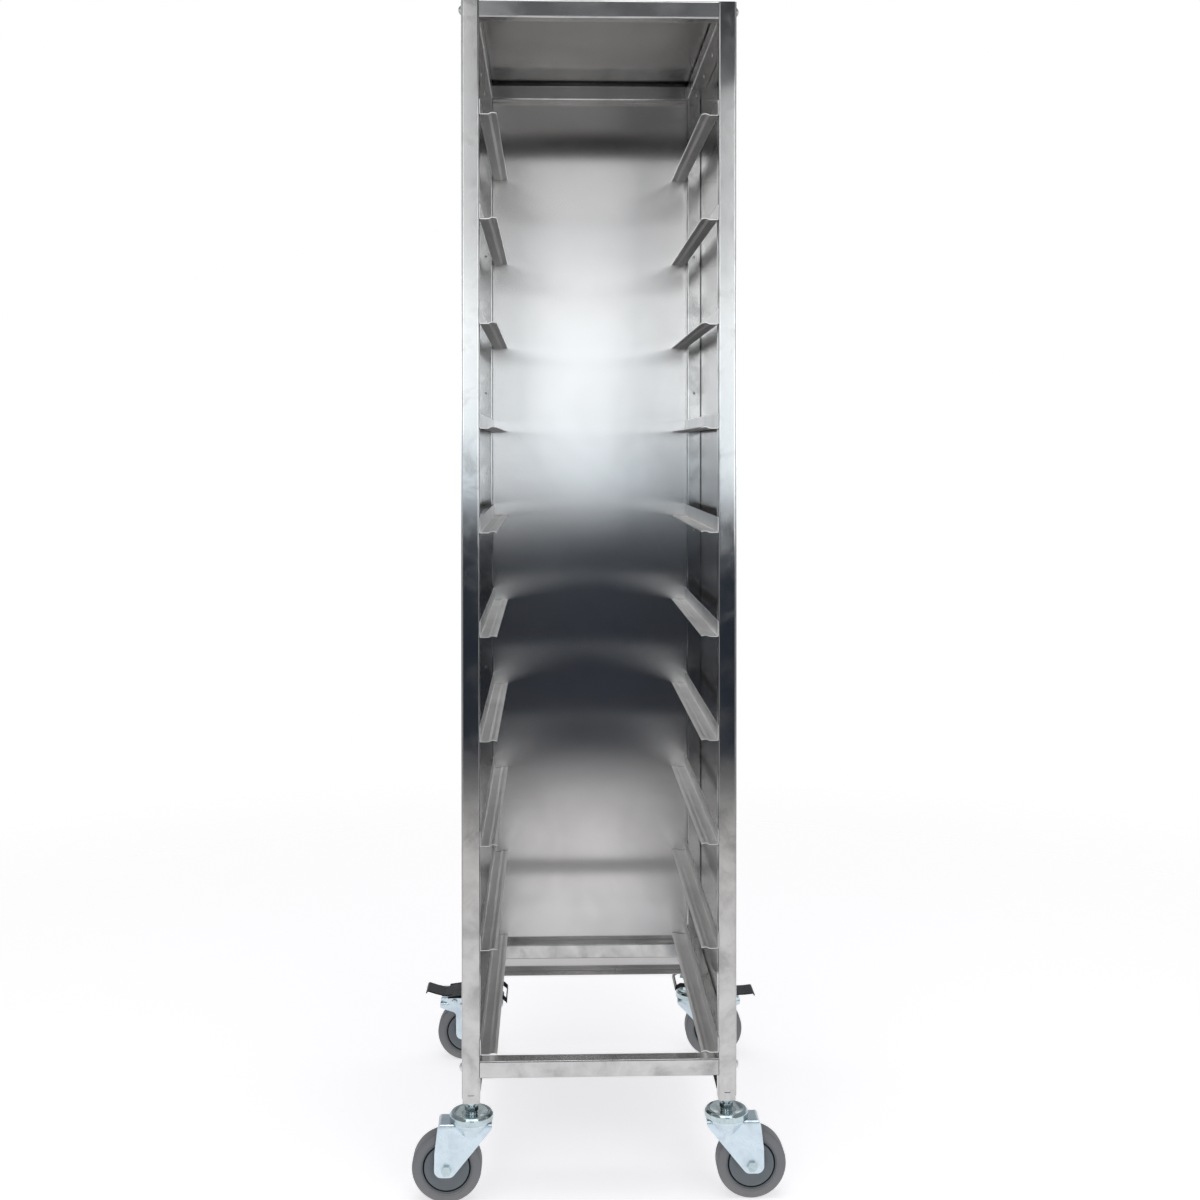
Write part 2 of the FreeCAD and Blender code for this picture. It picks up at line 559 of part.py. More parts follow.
def hub():
    """The hub: a rim, a groove inside it, a slightly dished face and a boss round its sleeve."""
    half = HUB_WIDTH / 2
    sleeve_half = FORK_INSIDE - FACE_CLEARANCE
    groove_out = HUB_RADIUS - HUB_RIM
    groove_in = groove_out - HUB_GROOVE
    boss = SLEEVE_RADIUS + 5
    face = [(HUB_RADIUS, half), (groove_out, half), (groove_out, half - HUB_GROOVE_DEPTH),
            (groove_in, half - HUB_GROOVE_DEPTH), (groove_in, half), (groove_in - 4, half),
            (boss + 4, half - 1.5), (boss, half - 1.5), (boss - 1, half + 3), (SLEEVE_RADIUS, half + 3)]
    outline = face + [(r, -z) for r, z in face[::-1]]
    body = about_axle(turned((outline, 0)))
    bore = AXLE_RADIUS + RUNNING_CLEARANCE
    sleeve = rod(SLEEVE_RADIUS, V(0, 0, -sleeve_half), V(0, 0, 1), 2 * sleeve_half)
    sleeve = sleeve.cut(rod(bore, V(0, 0, -sleeve_half), V(0, 0, 1), 2 * sleeve_half))
    return [body, about_axle(sleeve)]


def axle():
    """The axle bolt through both fork legs, and its nut."""
    across = V(0, 1, 0)
    near = V(WHEEL_TRAIL, -FORK_OUTSIDE, WHEEL_RADIUS)
    far = V(WHEEL_TRAIL, FORK_OUTSIDE, WHEEL_RADIUS)
    head = hexagon(AXLE_FLATS, near, -across, AXLE_HEAD)
    shank = rod(AXLE_RADIUS, near, across, 2 * FORK_OUTSIDE + AXLE_NUT + AXLE_TAIL)
    nut = hexagon(AXLE_FLATS, far, across, AXLE_NUT)
    nut = nut.cut(rod(AXLE_RADIUS + THREAD_CLEARANCE, far, across, AXLE_NUT))
    return [head.fuse(shank).removeSplitter().Solids[0], nut]


def shoe_reach():
    """The length of the brake shoe that leaves a small gap to the tyre when the pedal is pressed."""
    angle = math.radians(SHOE_ANGLE)
    x, z = PEDAL_PIN_REACH - WHEEL_TRAIL, PEDAL_PIN_HEIGHT - WHEEL_RADIUS
    along = -(x * math.cos(angle) + z * math.sin(angle))
    return along - math.sqrt(along ** 2 - x ** 2 - z ** 2 + (WHEEL_RADIUS + SHOE_CLEARANCE) ** 2)


def brake_pedal(pressed):
    """A folded frame that rocks on its pin, with a foot pad outside and a brake shoe over the tyre."""
    x, z, tip = PEDAL_PIN_REACH, PEDAL_PIN_HEIGHT, PEDAL_TIP
    strap = -(CUP_RADIUS + PEDAL_SIDE_GAP + 0.5)
    low = BRAKED_CROWN_TOP + CUP_GAP
    skin = PEDAL_SHEET
    outside = [(strap - skin, low + 2), (strap - skin, low + 10), (strap + 4, low + 17), (0, z + 17),
               (x - 13, z + 14), (x + 13, z + 9), (tip - 10, z + 20), (tip, z + 2), (x + 25, low), (x - 10, low - 1),
               (strap + 10, low)]
    inside = [(strap, 0), (strap, low + 11), (strap + 6, low + 18), (strap + 6, z + 40), (x + 11, z + 40),
              (x + 11, z + 7), (tip - 11, z + 18), (tip - 2.3, z + 2.5), (tip - 2.3, 0)]
    frame = prism("xz", -PEDAL_OUTSIDE, 2 * PEDAL_OUTSIDE, (outside, [2, 3, 4, 12, 12, 6, 3, 1.5, 5, 8, 2]))
    frame = frame.cut(prism("xz", -PEDAL_INSIDE, 2 * PEDAL_INSIDE, (inside, 0)))
    angle = math.radians(SHOE_ANGLE + PEDAL_TRAVEL)
    face = V(x + shoe_reach() * math.cos(angle), 0, z + shoe_reach() * math.sin(angle))
    width = V(-math.sin(angle), 0, math.cos(angle)) * (SHOE_TIP / 2)
    shoe = [(x - 7, z), ((face - width).x, (face - width).z), ((face + width).x, (face + width).z), (x + 6, z - 4),
            (x + 14, z + 1), (x + 24, z + 8), (x + 22, z + 11), (x + 11, z + 7.5), (x - 3, z + 6)]
    half = FORK_INSIDE - PEDAL_SIDE_GAP
    pedal = frame.fuse(prism("xz", -half, 2 * half, (shoe, [2, 0.5, 0.5, 2, 3, 0, 0, 0, 3]))).removeSplitter()
    across = V(0, 1, 0)
    pin_at = V(x, -2 * PEDAL_OUTSIDE, z)
    pedal = pedal.cut(rod(PEDAL_PIN_RADIUS + RUNNING_CLEARANCE, pin_at, across, 4 * PEDAL_OUTSIDE))
    if pressed:
        pedal.rotate(pin_at, across, PEDAL_TRAVEL)
    return [pedal.Solids[0]]


def placed(solids, side, end):
    """Caster pieces moved to a corner, mirrored where the wheel trails to the left."""
    moved = []
    for solid in solids:
        if side < 0:
            solid = solid.mirror(V(0, 0, 0), V(1, 0, 0))
        solid.translate(V(side * POST_X, end * POST_Y, 0))
        moved.append(solid)
    return moved


def build():
    """Every node's name and its solids."""
    nodes = {}
    sides = {"left": -1, "right": 1}
    ends = {"front": -1, "rear": 1}
    levels = {"bottom": BOTTOM_BAR_Z, "top": TOP_BAR_Z}
    for end_name, end in ends.items():
        for level, z in levels.items():
            nodes[f"{end_name}_{level}_bar"] = cross_bar(end, z)
    for side_name, side in sides.items():
        for level, z in levels.items():
            nodes[f"{side_name}_{level}_rail"] = side_rail(side, z)
        for k in range(SLIDE_COUNT):
            nodes[f"{side_name}_slide_{k + 1:02d}"] = slide(side, LOWEST_LEDGE + k * SLIDE_PITCH)
        nodes[f"{side_name}_panel"] = side_panel(side)
        nodes[f"rear_{side_name}_brake_pedal"] = placed(brake_pedal(side > 0), side, 1)
    nodes["back_panel"] = back_panel()
    nodes["top_panel"] = top_panel()
    nodes["crossbar_bolts"] = [bolt(side, end, z) for side in (-1, 1) for end in (-1, 1)
                               for z in levels.values()]
    nodes["panel_screws"] = panel_screws()
    for end_name, end in ends.items():
        for side_name, side in sides.items():
            corner = f"{end_name}_{side_name}"
            braked = end > 0
            crown_top = BRAKED_CROWN_TOP if braked else CROWN_TOP
            nodes[f"{corner}_post"] = post(side, end)
            nodes[f"{corner}_stem"] = placed(caster_stem(crown_top), side, end)
            nodes[f"{corner}_fork"] = placed(caster_fork(crown_top, braked), side, end)
            nodes[f"{corner}_tyre"] = placed(tyre(), side, end)
            nodes[f"{corner}_hub"] = placed(hub(), side, end)
            nodes[f"{corner}_axle"] = placed(axle(), side, end)
    return nodes


os.makedirs("parts", exist_ok=True)
for name, solids in build().items():
    shape = solids[0] if len(solids) == 1 else Part.makeCompound(solids)
    shape.exportStep(f"parts/{name}.step")
    volume = sum(solid.Volume for solid in solids)
    print(f"{name}: {len(solids)} solids, {volume:.0f} mm3, valid {shape.isValid()}")
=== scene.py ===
"""Looks of an enclosed sheet pan rack: brushed stainless frame, panels and slides on zinc-plated casters."""
import json

import bmesh
import bpy
import numpy as np
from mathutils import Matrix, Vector


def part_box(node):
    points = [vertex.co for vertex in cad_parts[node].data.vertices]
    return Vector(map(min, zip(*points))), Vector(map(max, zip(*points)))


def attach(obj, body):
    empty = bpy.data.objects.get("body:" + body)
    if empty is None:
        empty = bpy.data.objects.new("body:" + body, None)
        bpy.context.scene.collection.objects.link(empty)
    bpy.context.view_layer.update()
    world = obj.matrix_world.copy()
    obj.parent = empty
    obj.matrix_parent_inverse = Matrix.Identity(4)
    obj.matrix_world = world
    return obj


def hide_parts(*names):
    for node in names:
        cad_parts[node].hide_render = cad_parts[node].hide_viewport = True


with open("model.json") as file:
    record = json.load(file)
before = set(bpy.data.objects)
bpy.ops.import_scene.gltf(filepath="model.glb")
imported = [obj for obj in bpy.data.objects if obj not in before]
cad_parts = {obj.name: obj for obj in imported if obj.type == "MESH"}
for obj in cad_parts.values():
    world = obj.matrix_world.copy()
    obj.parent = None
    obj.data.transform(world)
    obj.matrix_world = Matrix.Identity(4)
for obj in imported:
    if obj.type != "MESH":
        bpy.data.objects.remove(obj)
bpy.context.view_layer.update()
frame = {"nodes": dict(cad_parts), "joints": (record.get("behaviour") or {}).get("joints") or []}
nodes = frame["nodes"]

MM = 0.001
SEAM = 2e-6  # points of one piece nearer than this are one point
SIDES = {"left": -1, "right": 1}
ENDS = ("front", "rear")
CORNERS = [(end, side) for end in ENDS for side in SIDES]


# ---------------------------------------------------------------- surfaces

def grid_faces(rows, columns, wrap_rows, wrap_columns):
    """Corner numbers of the quads between neighbouring rows and columns of a grid."""
    r = np.arange(rows if wrap_rows else rows - 1)
    c = np.arange(columns if wrap_columns else columns - 1)
    r, c = (a.ravel() for a in np.meshgrid(r, c, indexing="ij"))
    r2, c2 = (r + 1) % rows, (c + 1) % columns
    return np.stack([r * columns + c, r * columns + c2, r2 * columns + c2, r2 * columns + c], 1)


class Skin:
    """Gathers grids and flat caps into one mesh."""

    def __init__(self):
        self.points, self.faces, self.count = [], [], 0

    def grid(self, points, wrap_rows=False, wrap_columns=False, flip=False):
        rows, columns = points.shape[:2]
        faces = grid_faces(rows, columns, wrap_rows, wrap_columns)
        if flip:
            faces = faces[:, ::-1]
        self.faces += (faces + self.count).tolist()
        self.points.append(points.reshape(-1, 3))
        self.count += rows * columns
        return self

    def cap(self, ring, flip=False):
        order = np.arange(len(ring))[::-1] if flip else np.arange(len(ring))
        self.faces.append((order + self.count).tolist())
        self.points.append(ring)
        self.count += len(ring)
        return self

    def piece(self, name, body, material, replaces=(), smooth=35.0, bevel=0.0):
        """Join what was gathered, close its seams, point its faces outwards and place it on its body."""
        mesh = bpy.data.meshes.new(name)
        mesh.from_pydata(np.concatenate(self.points).tolist(), [], self.faces)
        work = bmesh.new()
        work.from_mesh(mesh)
        bmesh.ops.remove_doubles(work, verts=work.verts, dist=SEAM)
        bmesh.ops.recalc_face_normals(work, faces=work.faces)
        work.to_mesh(mesh)
        work.free()
        mesh.polygons.foreach_set("use_smooth", np.ones(len(mesh.polygons), bool))
        mesh.set_sharp_from_angle(angle=np.radians(smooth))
        mesh.materials.append(MATERIALS[material])
        obj = bpy.data.objects.new(name, mesh)
        bpy.context.scene.collection.objects.link(obj)
        if bevel:
            edge = obj.modifiers.new("worn_edges", "BEVEL")
            edge.width, edge.segments = bevel, 2
            edge.limit_method, edge.angle_limit = "ANGLE", np.radians(40)
        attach(obj, body)
        if replaces:
            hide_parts(*replaces)
        return obj


def rounded(corners, radii, steps=5):
    """A closed outline: each corner becomes an arc of its radius, centred on the bisector of the corner's
    angle at radius / sin(half angle) from the corner."""
    corners = np.asarray(corners, float)
    radii = np.broadcast_to(radii, len(corners))
    line = []
    for corner, before, after, radius in zip(corners, np.roll(corners, 1, 0), np.roll(corners, -1, 0), radii):
        if radius <= 0:
            line.append(corner[None])
            continue
        back, ahead = (v / np.linalg.norm(v) for v in (before - corner, after - corner))
        half = np.arccos(np.clip(back @ ahead, -1, 1)) / 2
        middle = corner + (back + ahead) / np.linalg.norm(back + ahead) * radius / np.sin(half)
        enter, leave = corner + back * radius / np.tan(half), corner + ahead * radius / np.tan(half)
        t = np.linspace(0, 1, steps + 1)[:, None]
        arc = (enter - middle) * (1 - t) + (leave - middle) * t
        line.append(middle + arc / np.linalg.norm(arc, axis=1)[:, None] * radius)
    return np.concatenate(line)


def turned(profile, centre, axis, segments=96, closed=True):
    """A profile of (radius, height) pairs turned about an axis through the centre: the point at angle t is
    centre + radius (cos t, sin t) across the axis + height along it."""
    axis = np.asarray(axis, float)
    across = np.cross(axis, (0.0, 0.0, 1.0) if abs(axis[2]) < 0.9 else (0.0, 1.0, 0.0))
    across /= np.linalg.norm(across)
    other = np.cross(axis, across)
    t = np.linspace(0, 2 * np.pi, segments, endpoint=False)
    ring = np.cos(t)[:, None] * across + np.sin(t)[:, None] * other
    profile = np.asarray(profile, float)
    points = centre + profile[None, :, 0, None] * ring[:, None] + profile[None, :, 1, None] * axis
    return Skin().grid(points, wrap_rows=True, wrap_columns=closed)


def join(*skins):
    """Several skins as one."""
    whole = Skin()
    for skin in skins:
        whole.faces += [[c + whole.count for c in face] for face in skin.faces]
        whole.points += skin.points
        whole.count += skin.count
    return whole


def pushed(outline, start, length):
    """An outline in x and z pushed out along y, with a cap at each end."""
    rings = np.stack([np.insert(outline, 1, n, axis=1) for n in (start, start + length)])
    return Skin().grid(rings, wrap_columns=True).cap(rings[0]).cap(rings[1], flip=True)


def folded(line, thickness, bend):
    """A folded sheet's outline: the line moved half a thickness to each side, mitred, its folds rounded."""
    line = np.asarray(line, float)
    ahead = np.diff(line, axis=0)
    ahead /= np.linalg.norm(ahead, axis=1)[:, None]
    normal = np.stack([-ahead[:, 1], ahead[:, 0]], 1)
    before, after = np.vstack([normal[:1], normal]), np.vstack([normal, normal[-1:]])
    mitre = (before + after) / (1 + np.sum(before * after, axis=1))[:, None]
    inner = np.r_[0, np.full(len(line) - 2, bend), 0]
    outline = np.vstack([line + mitre * thickness / 2, (line - mitre * thickness / 2)[::-1]])
    turn = np.r_[0, np.sign(ahead[:-1, 0] * ahead[1:, 1] - ahead[:-1, 1] * ahead[1:, 0]), 0]
    left = np.where(turn > 0, inner, inner + thickness) * (inner > 0)
    right = np.where(turn > 0, inner + thickness, inner) * (inner > 0)
    return rounded(outline, np.r_[left, right[::-1]])


# ---------------------------------------------------------------- shared shader groups

def group(name, inputs, outputs):
    """An empty node group with its sockets, and its input and output nodes."""
    tree = bpy.data.node_groups.new(name, "ShaderNodeTree")
    for label, kind, value in inputs:
        socket = tree.interface.new_socket(label, in_out="INPUT", socket_type=kind)
        if value is not None:
            socket.default_value = value
    for label, kind in outputs:
        tree.interface.new_socket(label, in_out="OUTPUT", socket_type=kind)
    return tree, tree.nodes.new("NodeGroupInput"), tree.nodes.new("NodeGroupOutput")


def add(tree, kind, links=(), **values):
    """A node with its settings, its inputs' values (given by name or number) and its incoming links."""
    node = tree.nodes.new(kind)
    for key, value in values.items():
        if key.startswith("in_"):
            node.inputs[int(key[3:])].default_value = value
        else:
            setattr(node, key, value)
    for socket, source in links:
        tree.links.new(source, node.inputs[socket])
    return node


def ramp(tree, source, stops):
    """A colour ramp from (position, colour) pairs."""
    node = add(tree, "ShaderNodeValToRGB", [(0, source)])
    ends = node.color_ramp.elements
    ends[0].position, ends[0].color = stops[0]
    ends[1].position, ends[1].color = stops[-1]
    for position, colour in stops[1:-1]:
        ends.new(position).color = colour
    return node


def grey(value):
    return (value, value, value, 1.0)


def make_brushing():
    """Fine lines along one axis: noise squeezed across the grain and stretched along it."""
    tree, start, end = group("brushed_grain", [("Stretch", "NodeSocketVector", (400.0, 400.0, 4.0)),
                                               ("Depth", "NodeSocketFloat", 0.5)],
                             [("Height", "NodeSocketFloat"), ("Lines", "NodeSocketFloat")])
    place = add(tree, "ShaderNodeTexCoord")
    squeeze = add(tree, "ShaderNodeVectorMath", [(0, place.outputs["Object"]), (1, start.outputs["Stretch"])],
                  operation="MULTIPLY")
    fine = add(tree, "ShaderNodeTexNoise", [("Vector", squeeze.outputs[0])], in_2=4.0, in_3=4.0, in_4=0.65)
    coarse = add(tree, "ShaderNodeTexNoise", [("Vector", squeeze.outputs[0])], in_2=0.55, in_3=2.0, in_4=0.5)
    both = add(tree, "ShaderNodeMath", [(0, fine.outputs["Fac"]), (1, coarse.outputs["Fac"])],
               operation="ADD")
    height = add(tree, "ShaderNodeMath", [(0, both.outputs[0]), (1, start.outputs["Depth"])],
                 operation="MULTIPLY")
    tree.links.new(height.outputs[0], end.inputs["Height"])
    tree.links.new(fine.outputs["Fac"], end.inputs["Lines"])
    return tree


def make_smudges():
    """Cloudy patches left by hands and polish: broad noise with finer noise mixed in."""
    tree, start, end = group("handling_smudges", [("Size", "NodeSocketFloat", 6.0)],
                             [("Mask", "NodeSocketFloat")])
    place = add(tree, "ShaderNodeTexCoord")
    broad = add(tree, "ShaderNodeTexNoise",
                [("Vector", place.outputs["Object"]), ("Scale", start.outputs["Size"])],
                in_3=5.0, in_4=0.6, in_8=0.4)
    shape = ramp(tree, broad.outputs["Fac"], [(0.38, grey(0)), (0.52, grey(0.35)), (0.68, grey(1))])
    tree.links.new(shape.outputs["Color"], end.inputs["Mask"])
    return tree


def make_speckle():
    """Small dents and specks: the middles of scattered cells."""
    tree, start, end = group("fine_specks", [("Size", "NodeSocketFloat", 300.0)],
                             [("Mask", "NodeSocketFloat")])
    place = add(tree, "ShaderNodeTexCoord")
    cells = add(tree, "ShaderNodeTexVoronoi",
                [("Vector", place.outputs["Object"]), ("Scale", start.outputs["Size"])])
    shape = ramp(tree, cells.outputs["Distance"], [(0.0, grey(1)), (0.16, grey(0))])
    tree.links.new(shape.outputs["Color"], end.inputs["Mask"])
    return tree


def make_floor_dust():
    """Dust that settles low down: noise that fades with height above the floor."""
    tree, start, end = group("floor_dust", [("Top", "NodeSocketFloat", 0.1)], [("Mask", "NodeSocketFloat")])
    place = add(tree, "ShaderNodeTexCoord")
    apart = add(tree, "ShaderNodeSeparateXYZ", [(0, place.outputs["Object"])])
    high = add(tree, "ShaderNodeMath", [(0, apart.outputs["Z"]), (1, start.outputs["Top"])],
               operation="DIVIDE", use_clamp=True)
    low = add(tree, "ShaderNodeMath", [(1, high.outputs[0])], operation="SUBTRACT", in_0=1.0)
    noise = add(tree, "ShaderNodeTexNoise", [("Vector", place.outputs["Object"])], in_2=90.0, in_3=4.0)
    mask = add(tree, "ShaderNodeMath", [(0, low.outputs[0]), (1, noise.outputs["Fac"])], operation="MULTIPLY")
    tree.links.new(mask.outputs[0], end.inputs["Mask"])
    return tree


GRAIN, SMUDGES, SPECKS, DUST = make_brushing(), make_smudges(), make_speckle(), make_floor_dust()


def placed_group(tree, source, **values):
    """A group used in a material, with values for its inputs."""
    node = tree.nodes.new("ShaderNodeGroup")
    node.node_tree = source
    for key, value in values.items():
        node.inputs[key].default_value = value
    return node


# ---------------------------------------------------------------- materials

def new_material(name):
    """A material, its node tree and its Principled shader."""
    material = bpy.data.materials.new(name)
    material.use_nodes = True
    tree = material.node_tree
    shader = tree.nodes["Principled BSDF"]
    return material, tree, shader


def mixed(tree, mask, first, second):
    """The first colour where the mask is 0, the second where it is 1."""
    node = add(tree, "ShaderNodeMix", [(0, mask)], data_type="RGBA")
    node.inputs[6].default_value = (*first, 1.0)
    node.inputs[7].default_value = (*second, 1.0)
    return node.outputs[2]


def stretched(tree, mask, low, high):
    """The mask's 0 to 1 moved to low to high."""
    node = add(tree, "ShaderNodeMapRange", [(0, mask)], in_3=low, in_4=high)
    return node.outputs[0]


def brushed(name, axis, colour, roughness, spread, grain_depth, smudge_size, sheen_change, dulling):
    """Stainless steel brushed along an axis: reflections spread across the grain."""
    material, tree, shader = new_material(name)
    stretch = {"X": (3.0, 420.0, 420.0), "Y": (420.0, 3.0, 420.0), "Z": (420.0, 420.0, 3.0)}[axis]
    grain = placed_group(tree, GRAIN, Stretch=stretch, Depth=grain_depth)
    smudges = placed_group(tree, SMUDGES, Size=smudge_size)
    dark = tuple(c * dulling for c in colour)
    tree.links.new(mixed(tree, smudges.outputs["Mask"], colour, dark), shader.inputs["Base Color"])
    soft = stretched(tree, smudges.outputs["Mask"], roughness, roughness + sheen_change)
    lines = stretched(tree, grain.outputs["Lines"], -0.015, 0.015)
    total = add(tree, "ShaderNodeMath", [(0, soft), (1, lines)], operation="ADD")
    tree.links.new(total.outputs[0], shader.inputs["Roughness"])
    bump = add(tree, "ShaderNodeBump", [("Height", grain.outputs["Height"])])
    bump.inputs["Strength"].default_value = 0.05
    bump.inputs["Distance"].default_value = 0.0002
    tree.links.new(bump.outputs[0], shader.inputs["Normal"])
    shader.inputs["Metallic"].default_value = 1.0
    shader.inputs["Anisotropic"].default_value = spread
    tangent = add(tree, "ShaderNodeTangent", direction_type="RADIAL", axis=axis)
    tree.links.new(tangent.outputs[0], shader.inputs["Tangent"])
    return material


def zinc(name, clean, cloudy, roughness):
    """Bright zinc plate with a blue tint, faint cloudy passivation and small specks."""
    material, tree, shader = new_material(name)
    smudges = placed_group(tree, SMUDGES, Size=45.0)
    specks = placed_group(tree, SPECKS, Size=420.0)
    tree.links.new(mixed(tree, smudges.outputs["Mask"], clean, cloudy), shader.inputs["Base Color"])
    duller = stretched(tree, smudges.outputs["Mask"], roughness, roughness + 0.12)
    tree.links.new(duller, shader.inputs["Roughness"])
    bump = add(tree, "ShaderNodeBump", [("Height", specks.outputs["Mask"])], invert=True)
    bump.inputs["Strength"].default_value = 0.12
    bump.inputs["Distance"].default_value = 0.0001
    tree.links.new(bump.outputs[0], shader.inputs["Normal"])
    shader.inputs["Metallic"].default_value = 1.0
    return material


def bright():
    """Polished fasteners."""
    material, tree, shader = new_material("bright_steel")
    smudges = placed_group(tree, SMUDGES, Size=80.0)
    tree.links.new(mixed(tree, smudges.outputs["Mask"], (0.66, 0.67, 0.69), (0.52, 0.53, 0.55)),
                   shader.inputs["Base Color"])
    tree.links.new(stretched(tree, smudges.outputs["Mask"], 0.18, 0.32), shader.inputs["Roughness"])
    shader.inputs["Metallic"].default_value = 1.0
    return material


def moulded(name, colour, dusty, roughness, specular, speck_size, speck_depth, dust_top):
    """Rubber or plastic from a mould: an even matt skin with fine specks, paler where dust has settled."""
    material, tree, shader = new_material(name)
    dust = placed_group(tree, DUST, Top=dust_top)
    specks = placed_group(tree, SPECKS, Size=speck_size)
    noise = placed_group(tree, SMUDGES, Size=60.0)
    tree.links.new(mixed(tree, dust.outputs["Mask"], colour, dusty), shader.inputs["Base Color"])
    duller = stretched(tree, noise.outputs["Mask"], roughness, roughness + 0.10)
    tree.links.new(duller, shader.inputs["Roughness"])
    bump = add(tree, "ShaderNodeBump", [("Height", specks.outputs["Mask"])])
    bump.inputs["Strength"].default_value = speck_depth
    bump.inputs["Distance"].default_value = 0.0002
    tree.links.new(bump.outputs[0], shader.inputs["Normal"])
    shader.inputs["Specular IOR Level"].default_value = specular
    return material


def black_coat():
    """Glossy black coating, rubbed a little duller in patches."""
    material, tree, shader = new_material("pedal_black")
    smudges = placed_group(tree, SMUDGES, Size=70.0)
    tree.links.new(mixed(tree, smudges.outputs["Mask"], (0.006, 0.006, 0.007), (0.016, 0.016, 0.018)),
                   shader.inputs["Base Color"])
    tree.links.new(stretched(tree, smudges.outputs["Mask"], 0.22, 0.38), shader.inputs["Roughness"])
    shader.inputs["Specular IOR Level"].default_value = 0.12
    return material


TUBE_STEEL = (0.575, 0.575, 0.57)
MATERIALS = {
    "frame_tube": brushed("frame_tube", "Z", TUBE_STEEL, roughness=0.09, spread=0.9, grain_depth=0.4,
                          smudge_size=22.0, sheen_change=0.12, dulling=0.68),
    "frame_tube_across": brushed("frame_tube_across", "X", TUBE_STEEL, roughness=0.14, spread=0.7,
                                 grain_depth=0.4, smudge_size=20.0, sheen_change=0.12, dulling=0.68),
    "frame_tube_deep": brushed("frame_tube_deep", "Y", TUBE_STEEL, roughness=0.18, spread=0.7,
                               grain_depth=0.4, smudge_size=20.0, sheen_change=0.10, dulling=0.74),
    "panel_sheet": brushed("panel_sheet", "Z", (0.620, 0.612, 0.607), roughness=0.17, spread=1.0,
                           grain_depth=0.05, smudge_size=4.0, sheen_change=0.03, dulling=0.88),
    # The top panel is the same sheet steel with its colour darkened: painted shade for the underside of the
    # rack's ceiling.
    "top_sheet": brushed("top_sheet", "Y", (0.36, 0.358, 0.355), roughness=0.17, spread=0.8,
                         grain_depth=0.12, smudge_size=4.0, sheen_change=0.03, dulling=0.80),
    "slide_sheet": brushed("slide_sheet", "Y", (0.72, 0.715, 0.71), roughness=0.30, spread=0.5,
                           grain_depth=0.4, smudge_size=7.0, sheen_change=0.04, dulling=0.86),
    "bright_steel": bright(),
    "zinc_plate": zinc("zinc_plate", (0.64, 0.75, 0.81), (0.55, 0.63, 0.70), 0.26),
    "zinc_polished": zinc("zinc_polished", (0.55, 0.66, 0.68), (0.42, 0.50, 0.52), 0.10),
    "tyre_rubber": moulded("tyre_rubber", (0.182, 0.184, 0.192), (0.23, 0.225, 0.225), roughness=0.55,
                           specular=0.3, speck_size=900.0, speck_depth=0.15, dust_top=0.05),
    "hub_plastic": moulded("hub_plastic", (0.120, 0.142, 0.158), (0.15, 0.165, 0.17), roughness=0.38,
                           specular=0.4, speck_size=700.0, speck_depth=0.08, dust_top=0.08),
    # Near-black: painted shade for the bottoms of the hub grooves.
    "seal_rubber": moulded("seal_rubber", (0.012, 0.012, 0.013), (0.02, 0.02, 0.02), roughness=0.7,
                           specular=0.2, speck_size=900.0, speck_depth=0.1, dust_top=0.05),
    "pedal_black": black_coat(),
}

for name, node in nodes.items():
    kind = "frame_tube"
    if name.endswith("_bar"):
        kind = "frame_tube_across"
    elif name.endswith("_rail"):
        kind = "frame_tube_deep"
    elif "_slide_" in name:
        kind = "slide_sheet"
    elif name == "top_panel":
        kind = "top_sheet"
    elif name.endswith("_panel"):
        kind = "panel_sheet"
    elif name in ("crossbar_bolts", "panel_screws"):
        kind = "bright_steel"
    elif name.endswith(("_stem", "_axle")):
        kind = "zinc_polished"
    elif name.endswith("_fork"):
        kind = "zinc_plate"
    elif name.endswith("_tyre"):
        kind = "tyre_rubber"
    elif name.endswith("_hub"):
        kind = "hub_plastic"
    elif name.endswith("_pedal"):
        kind = "pedal_black"
    for place in node.material_slots:
        place.material = MATERIALS[kind]


# ---------------------------------------------------------------- wheels

TREAD = 14 * MM  # thickness of the rubber on the hub

def wheel_middle(corner):
    """A wheel's centre, radius and half width."""
    low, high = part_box(f"{corner}_tyre")
    return np.array((low + high) / 2), (high.z - low.z) / 2, (high.y - low.y) / 2


def make_tyre(corner):
    """A round shoulder joins the tread to a sidewall that steps in at a raised ring beside the hub."""
    centre, radius, half = wheel_middle(corner)
    foot = radius - TREAD
    side = [(foot, half - 2.2 * MM), (foot + 0.8 * MM, half - 1.1 * MM),
            (foot + 2.6 * MM, half - 0.6 * MM), (foot + 3.4 * MM, half - 0.05 * MM),
            (radius - 0.2 * MM, half - 0.3 * MM), (radius, half - 6 * MM)]
    ends = [(radius, -half + 6 * MM)] + [(r, -a) for r, a in side[-2::-1]]
    outline = rounded(side + ends, [0.4 * MM, 0.5 * MM, 0.6 * MM, 0.5 * MM, 4.5 * MM, 1 * MM,
                                    1 * MM, 4.5 * MM, 0.5 * MM, 0.6 * MM, 0.5 * MM, 0.4 * MM], 6)
    skin = turned(outline, centre, (0, 1, 0), 128)
    return skin.piece(f"{corner}_tyre_tread", f"{corner}_wheel", "tyre_rubber", [f"{corner}_tyre"], smooth=50)


